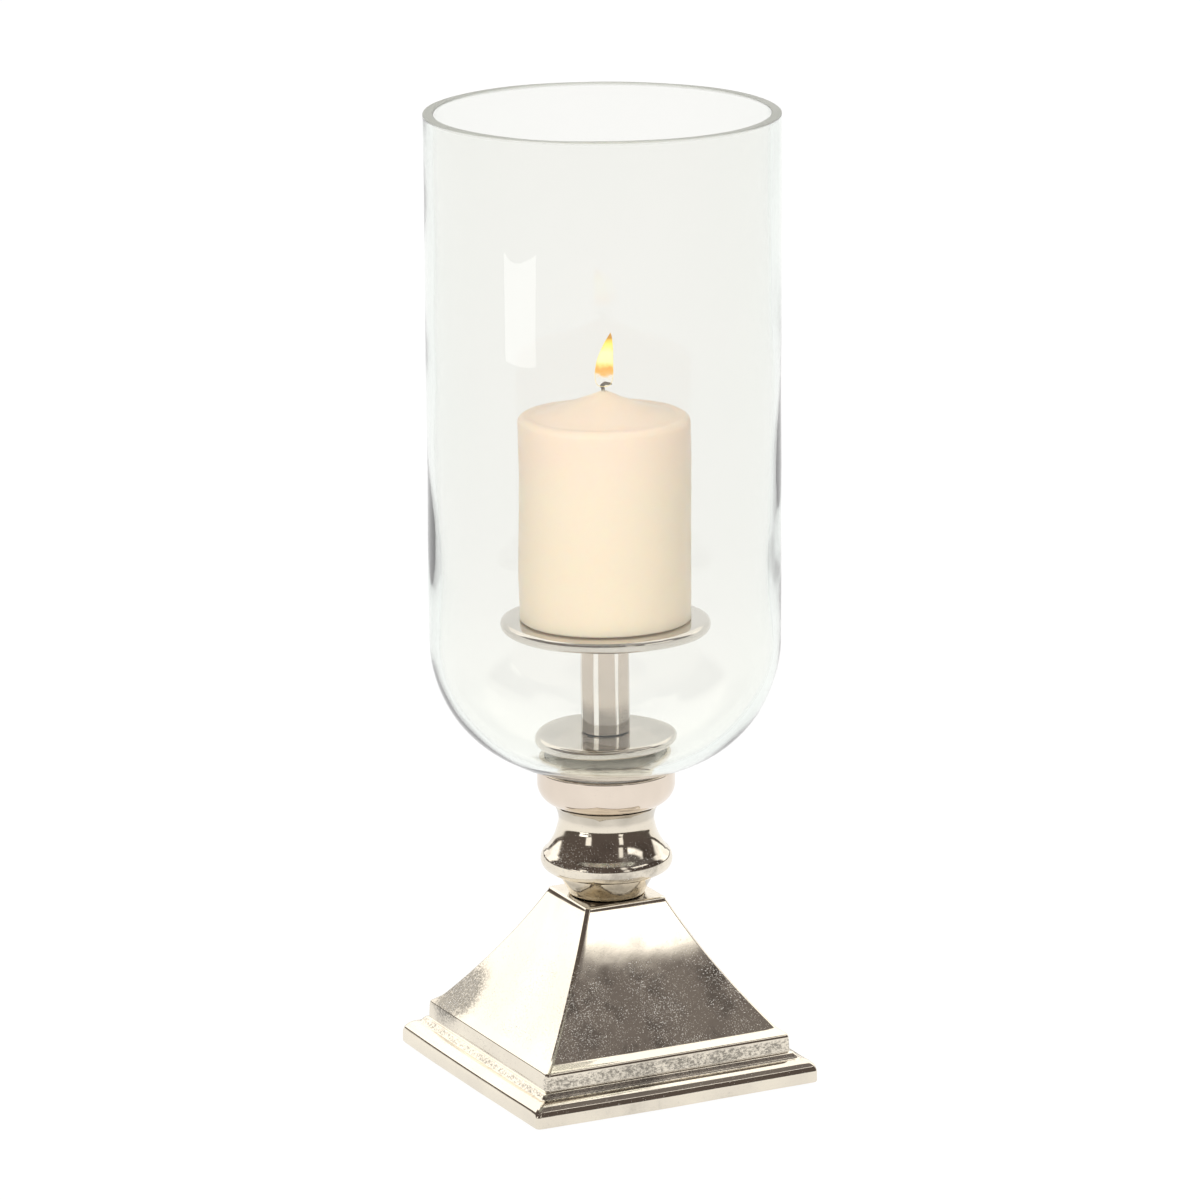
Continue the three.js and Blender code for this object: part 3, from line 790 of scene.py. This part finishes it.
finish_piece(make_glass(), "glass", "glass", GLASS, "glass")


# ---- Candle, wick and flame ---------------------------------------------------------------

WICK_BORE = 1.3 * MM
SHOULDER = wax_high.z - 10.9 * MM
SHOULDER_ROUND = 3.4 * MM
TENT_STEPS = 27
TENT_CURVE = 1.2

# The wick hooks over towards this side, and the flame leans the same way
LEAN_AZIMUTH = math.radians(-26.8)
LEAN = Vector((math.cos(LEAN_AZIMUTH), math.sin(LEAN_AZIMUTH), 0))


def make_candle():
    """A pillar candle with a tented top, a bore for its wick and a recess for the wick's clip."""
    outside = wax_high.x
    foot = 0.9 * MM
    clip_recess = clip_high.x + 0.6 * MM
    clip_top = clip_low.z + 1.1 * MM
    collar = 2.6 * MM
    collar_top = clip_high.z + 1 * MM
    apex = wax_high.z
    outline = [(clip_recess, wax_low.z)]
    outline += line((clip_recess + 4 * MM, wax_low.z), (outside - foot - 1 * MM, wax_low.z), 5)
    outline += arc(outside - foot, wax_low.z + foot, foot, -90, 0, 6)
    outline += line((outside, wax_low.z + 4 * MM), (outside, SHOULDER - 6 * MM), 44)
    shoulder = outside - SHOULDER_ROUND
    outline += arc(shoulder, SHOULDER - SHOULDER_ROUND, SHOULDER_ROUND, 0, 74, 12)
    outline += [(shoulder - 1 * MM, SHOULDER - 0.05 * MM), (shoulder - 2.2 * MM, SHOULDER - 0.25 * MM)]
    inner = shoulder - 3 * MM
    tent_foot = SHOULDER - 0.2 * MM
    outline.append((inner, tent_foot))
    rise = apex - SHOULDER + 0.2 * MM
    for i in range(1, TENT_STEPS):
        t = i / TENT_STEPS
        outline.append((inner * (1 - t) + WICK_BORE * t, tent_foot + rise * t ** TENT_CURVE))
    outline += [(WICK_BORE, apex), (WICK_BORE, apex - 6 * MM), (WICK_BORE, collar_top),
                (collar, collar_top), (collar, clip_top), (clip_recess, clip_top)]
    piece = turned("candle_wax_fine", outline, 144)

    def clear_of_wick(p):
        return Vector((p.x, p.y)).length > 6 * MM and p.z > wax_low.z + 2 * MM

    ripple(piece, 0.5 * MM, 38 * MM, 9, clear_of_wick)
    ripple(piece, 0.12 * MM, 7 * MM, 10, clear_of_wick)
    return piece


def along(points, count):
    """Evenly spaced points on a smooth curve through 3-D points."""
    curve = through([tuple(p) for p in points], 12)
    lengths = [0.0]
    for a, b in zip(curve, curve[1:]):
        lengths.append(lengths[-1] + (Vector(b) - Vector(a)).length)
    result = []
    segment = 0
    for i in range(count + 1):
        target = lengths[-1] * i / count
        while segment < len(curve) - 2 and lengths[segment + 1] < target:
            segment += 1
        span = lengths[segment + 1] - lengths[segment] or 1
        t = (target - lengths[segment]) / span
        result.append(Vector(curve[segment]).lerp(Vector(curve[segment + 1]), t))
    return result


# The wick's braid: BRAID_PITCH route points make one turn, and its last share thins out
STRANDS = 3
STRAND_RADIUS = 0.48 * MM
BRAID_PITCH = 22
FRAYED_FROM = 0.97
FRAYED_SHARE = 0.03
THINNING = 0.45


def make_wick():
    """A braid of three strands, thinner and frayed at its burnt tip."""
    apex = wax_high.z
    tip = wick_high.z
    route = along([
        (0, 0, wick_low.z + 0.2 * MM), (0, 0, apex - 30 * MM), (0, 0, apex - 6 * MM),
        LEAN * -0.3 * MM + Vector((0, 0, apex)),
        LEAN * -0.8 * MM + Vector((0, 0, tip - 1.9 * MM)),
        LEAN * 0.4 * MM + Vector((0, 0, tip - 0.75 * MM)),
        LEAN * 3.4 * MM + Vector((0, 0, tip - 0.9 * MM)),
    ], 420)
    points, faces = [], []
    sides = 8
    for strand in range(STRANDS):
        rings = []
        for i, centre in enumerate(route):
            ahead = route[min(i + 1, len(route) - 1)] - route[max(i - 1, 0)]
            forward = ahead.normalized()
            side = forward.cross(Vector((0, 1, 0))).normalized()
            other = forward.cross(side)
            t = i / (len(route) - 1)
            full = 1 if t < FRAYED_FROM else 1 - (t - FRAYED_FROM) / FRAYED_SHARE * THINNING
            thick = STRAND_RADIUS * full
            turn = 2 * math.pi * (strand / STRANDS + i / BRAID_PITCH)
            middle = centre + (side * math.cos(turn) + other * math.sin(turn)) * thick * 0.85
            ring = []
            for k in range(sides):
                angle = 2 * math.pi * k / sides
                ring.append(middle + (side * math.cos(angle) + other * math.sin(angle)) * thick)
            rings.append(ring)
        strand_points, strand_faces = capped(rings)
        start = len(points)
        points += strand_points
        faces += [tuple(start + v for v in face) for face in strand_faces]
    return make_object("wick_fine", points, faces, 60)


def make_flame():
    """A closed leaf of fire that leans, with one side curved and the other nearly upright.

    edges lists (share of the height, one side, other side), the sides in millimetres along LEAN.
    """
    low = wick_high.z - 1.9 * MM
    tall = 23.2 * MM
    edges = through([
        (0.0, -2.2, 1.6), (0.05, -3.4, 3.2), (0.2, -3.9, 4.1), (0.36, -3.5, 4.2), (0.52, -2.6, 4.2),
        (0.68, -1.1, 4.2), (0.82, 0.6, 4.0), (0.93, 2.1, 3.7), (1.0, 3.05, 3.15),
    ], 5)
    depth_axis = Vector((0, 0, 1)).cross(LEAN)
    flatness = 0.85
    sides = 32
    rings = []
    for t, curved, upright in edges:
        middle = (curved + upright) / 2 * MM
        half = (upright - curved) / 2 * MM
        ring = []
        for k in range(sides):
            angle = 2 * math.pi * k / sides
            offset = LEAN * (middle + half * math.cos(angle))
            offset += depth_axis * half * flatness * math.sin(angle)
            ring.append(offset + Vector((0, 0, low + tall * t)))
        rings.append(ring)
    piece = make_object("flame", *capped(rings), 80)
    return piece, low, low + tall


finish_piece(make_candle(), "candle", "wax", WAX, "candle_wax")
finish_piece(make_wick(), "candle", "wick", WICK, "wick")
flame, flame_low, flame_high = make_flame()
finish_piece(flame, "candle", "flame", fire(flame_low, flame_high))


# ---- CAD pieces that stay, with their materials -------------------------------------------

def dress(material, *names):
    for name in names:
        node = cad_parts[name]
        node.data.materials.clear()
        node.data.materials.append(material)
        for polygon in node.data.polygons:
            polygon.use_smooth = True
        node.data.set_sharp_from_angle(angle=math.radians(30))


dress(STEEL, "tie_rod", "base_nut", "lock_washer", "base_washer", "plate_screw", "wick_clip")
dress(SILICONE, "lower_gasket", "upper_gasket")
dress(FELT, "foot_pad_1", "foot_pad_2", "foot_pad_3", "foot_pad_4")


# ---- Floor, light and camera --------------------------------------------------------------

# The camera: angles in degrees, lengths in metres, lens and sensor in millimetres
CAMERA_AZIMUTH = -26.81
CAMERA_DISTANCE = 2.641
CAMERA_HEIGHT = 0.892
CAMERA_PITCH = 14.38
CAMERA_ROLL = 0.34
CAMERA_LENS = 185.4
CAMERA_SENSOR = 36
CAMERA_SHIFT = -0.0042


def make_floor():
    reach = 6.0
    corners = [(-reach, -reach, 0), (reach, -reach, 0), (reach, reach, 0), (-reach, reach, 0)]
    floor = make_object("floor", corners, [(0, 1, 2, 3)])
    shader = Shader("pale_floor")
    shader.set(Base_Color=(0.12, 0.12, 0.12, 1), Roughness=0.9, Specular_IOR_Level=0.1,
               Emission_Color=(1, 1, 1, 1), Emission_Strength=0.92)
    floor.data.materials.append(shader.material)


class Sky(Graph):
    """Builds the studio seen in reflections: soft windows of light by direction."""

    def __init__(self):
        world = bpy.data.worlds.new("studio")
        bpy.context.scene.world = world
        world.use_nodes = True
        super().__init__(world.node_tree)
        place = self.nodes.new("ShaderNodeTexCoord").outputs["Generated"]
        turn = self.nodes.new("ShaderNodeVectorRotate")
        turn.rotation_type = "Z_AXIS"
        turn.inputs["Angle"].default_value = -math.radians(CAMERA_AZIMUTH)
        self.links.new(place, turn.inputs["Vector"])
        split = self.nodes.new("ShaderNodeSeparateXYZ")
        self.links.new(turn.outputs["Vector"], split.inputs["Vector"])
        flat = self.math("MULTIPLY", split.outputs["Y"], -1.0)
        across = self.math("ARCTAN2", split.outputs["X"], flat)
        self.azimuth = self.math("MULTIPLY", across, 180 / math.pi)
        rise = self.math("ARCSINE", split.outputs["Z"])
        self.elevation = self.math("MULTIPLY", rise, 180 / math.pi)

    def window(self, middle, half_width, low, high, edge):
        """1 inside a patch of sky, 0 outside; middle None means all the way round."""
        shape = self.math("MULTIPLY", self.spread(self.elevation, low - edge, low + edge),
                          self.spread(self.elevation, high + edge, high - edge))
        if middle is None:
            return shape
        offset = self.math("SUBTRACT", self.azimuth, middle)
        wrapped = self.math("ABSOLUTE", self.math("WRAP", offset, 180.0, -180.0))
        side = self.spread(wrapped, half_width + edge, half_width - edge)
        return self.math("MULTIPLY", shape, side)


# Patches of light round the lantern: (azimuth from the camera's, half width, low, high, soft
# edge, colour), all angles in degrees. Azimuth None goes all the way round. Later ones cover
# earlier ones.
PANELS = [
    (0, 180, 66, 100, 6, (0.36, 0.36, 0.33)),
    (75, 38, 36, 62, 3, (0.205, 0.185, 0.18)),
    (180, 64, -10, 56, 4, (1.6, 1.57, 1.52)),
    (180, 80, 54, 72, 3, (1.6, 1.57, 1.52)),
    (180, 45, 8, 22, 4, (1.2, 1.18, 1.15)),
    (68, 19, 28, 37.4, 2.2, (2.0, 1.97, 1.92)),
    (34, 5, 7, 20, 1.2, (1.2, 1.18, 1.15)),
    (32, 5, 27, 46, 1.2, (1.1, 1.08, 1.05)),
    (-42, 6, 8, 22, 1.2, (1.2, 1.18, 1.15)),
    (None, 180, 1.5, 6, 1, (0.10, 0.085, 0.075)),
    (-128, 17, -4, 8, 1.2, (0.12, 0.10, 0.09)),
    (None, 180, -95, 1, 1, (1.03, 1.01, 0.98)),
]
BACKDROP = (1.02, 1.02, 1.02)


def make_world():
    """A dark room with a white table level and soft panels of light.

    Reflections show the room; the camera sees a plain white backdrop, also through the glass.
    """
    sky = Sky()
    room = sky.nodes.new("ShaderNodeRGB")
    room.outputs[0].default_value = (0.11, 0.09, 0.083, 1)
    light = room.outputs[0]
    for *place, color in PANELS:
        light = sky.blend(sky.window(*place), light, color)
    low_sky = sky.window(None, 180, -95, 22, 4)
    path = sky.nodes.new("ShaderNodeLightPath")
    through_glass = sky.math("MULTIPLY", path.outputs["Is Transmission Ray"], low_sky)
    plain = sky.math("MAXIMUM", path.outputs["Is Camera Ray"], through_glass)
    light = sky.blend(plain, light, BACKDROP)
    background = sky.nodes["Background"]
    sky.links.new(light, background.inputs["Color"])
    background.inputs["Strength"].default_value = 1.0


def add_softbox(name, azimuth, reach, height, size, radiance, target_height=0.2):
    """A soft rectangular light that faces the lantern, at an azimuth counted as the camera's is."""
    light = bpy.data.lights.new(name, "AREA")
    light.shape = "RECTANGLE"
    light.size, light.size_y = size
    light.energy = radiance * size[0] * size[1] * math.pi
    lamp = bpy.data.objects.new(name, light)
    turn = math.radians(azimuth)
    place = Vector((math.sin(turn) * reach, -math.cos(turn) * reach, height))
    lamp.location = place
    lamp.rotation_mode = "QUATERNION"
    lamp.rotation_quaternion = (place - Vector((0, 0, target_height))).to_track_quat("Z", "Y")
    lamp.visible_camera = False
    bpy.context.scene.collection.objects.link(lamp)
    return lamp


def shine_through(lamp, piece):
    """Lets a light reach what stands inside a clear piece, which would block it otherwise."""
    blockers = bpy.data.collections.new(lamp.name + "_blockers")
    lamp.light_linking.blocker_collection = blockers
    blockers.objects.link(piece)
    blockers.collection_objects[0].light_linking.link_state = "EXCLUDE"


def make_camera():
    data = bpy.data.cameras.new("camera")
    data.sensor_width = CAMERA_SENSOR
    data.lens = CAMERA_LENS
    data.shift_x = CAMERA_SHIFT
    camera = bpy.data.objects.new("camera", data)
    bpy.context.scene.collection.objects.link(camera)
    a, p, roll = (math.radians(x) for x in (CAMERA_AZIMUTH, CAMERA_PITCH, CAMERA_ROLL))
    back = Vector((math.sin(a) * math.cos(p), -math.cos(a) * math.cos(p), math.sin(p)))
    right = Vector((math.cos(a), math.sin(a), 0))
    up = back.cross(right)
    turned_right = right * math.cos(roll) - up * math.sin(roll)
    turned_up = up * math.cos(roll) + right * math.sin(roll)
    place = Vector((math.sin(a) * CAMERA_DISTANCE, -math.cos(a) * CAMERA_DISTANCE, CAMERA_HEIGHT))
    columns = Matrix((turned_right, turned_up, back)).transposed()
    camera.matrix_world = Matrix.Translation(place) @ columns.to_4x4()
    bpy.context.scene.camera = camera


def make_lamps():
    """A large lamp in front that lights the wax, and a low card that glints on the metal."""
    front = add_softbox("front", CAMERA_AZIMUTH - 11, reach=1.87, height=1.37, size=(3.2, 1.2),
                        radiance=3.55)
    front.visible_glossy = False
    front.visible_transmission = False
    shine_through(front, bpy.data.objects["glass_fine"])
    card = add_softbox("card", CAMERA_AZIMUTH - 52.7, reach=0.9, height=0.18, size=(0.34, 0.06),
                       radiance=1.9, target_height=0.34)
    card.visible_transmission = False


make_camera()
make_floor()
make_world()
make_lamps()

scene = bpy.context.scene
scene.view_settings.view_transform = "Standard"
scene.cycles.use_denoising = True
scene.cycles.max_bounces = 16
scene.cycles.transmission_bounces = 14
scene.cycles.transparent_max_bounces = 12
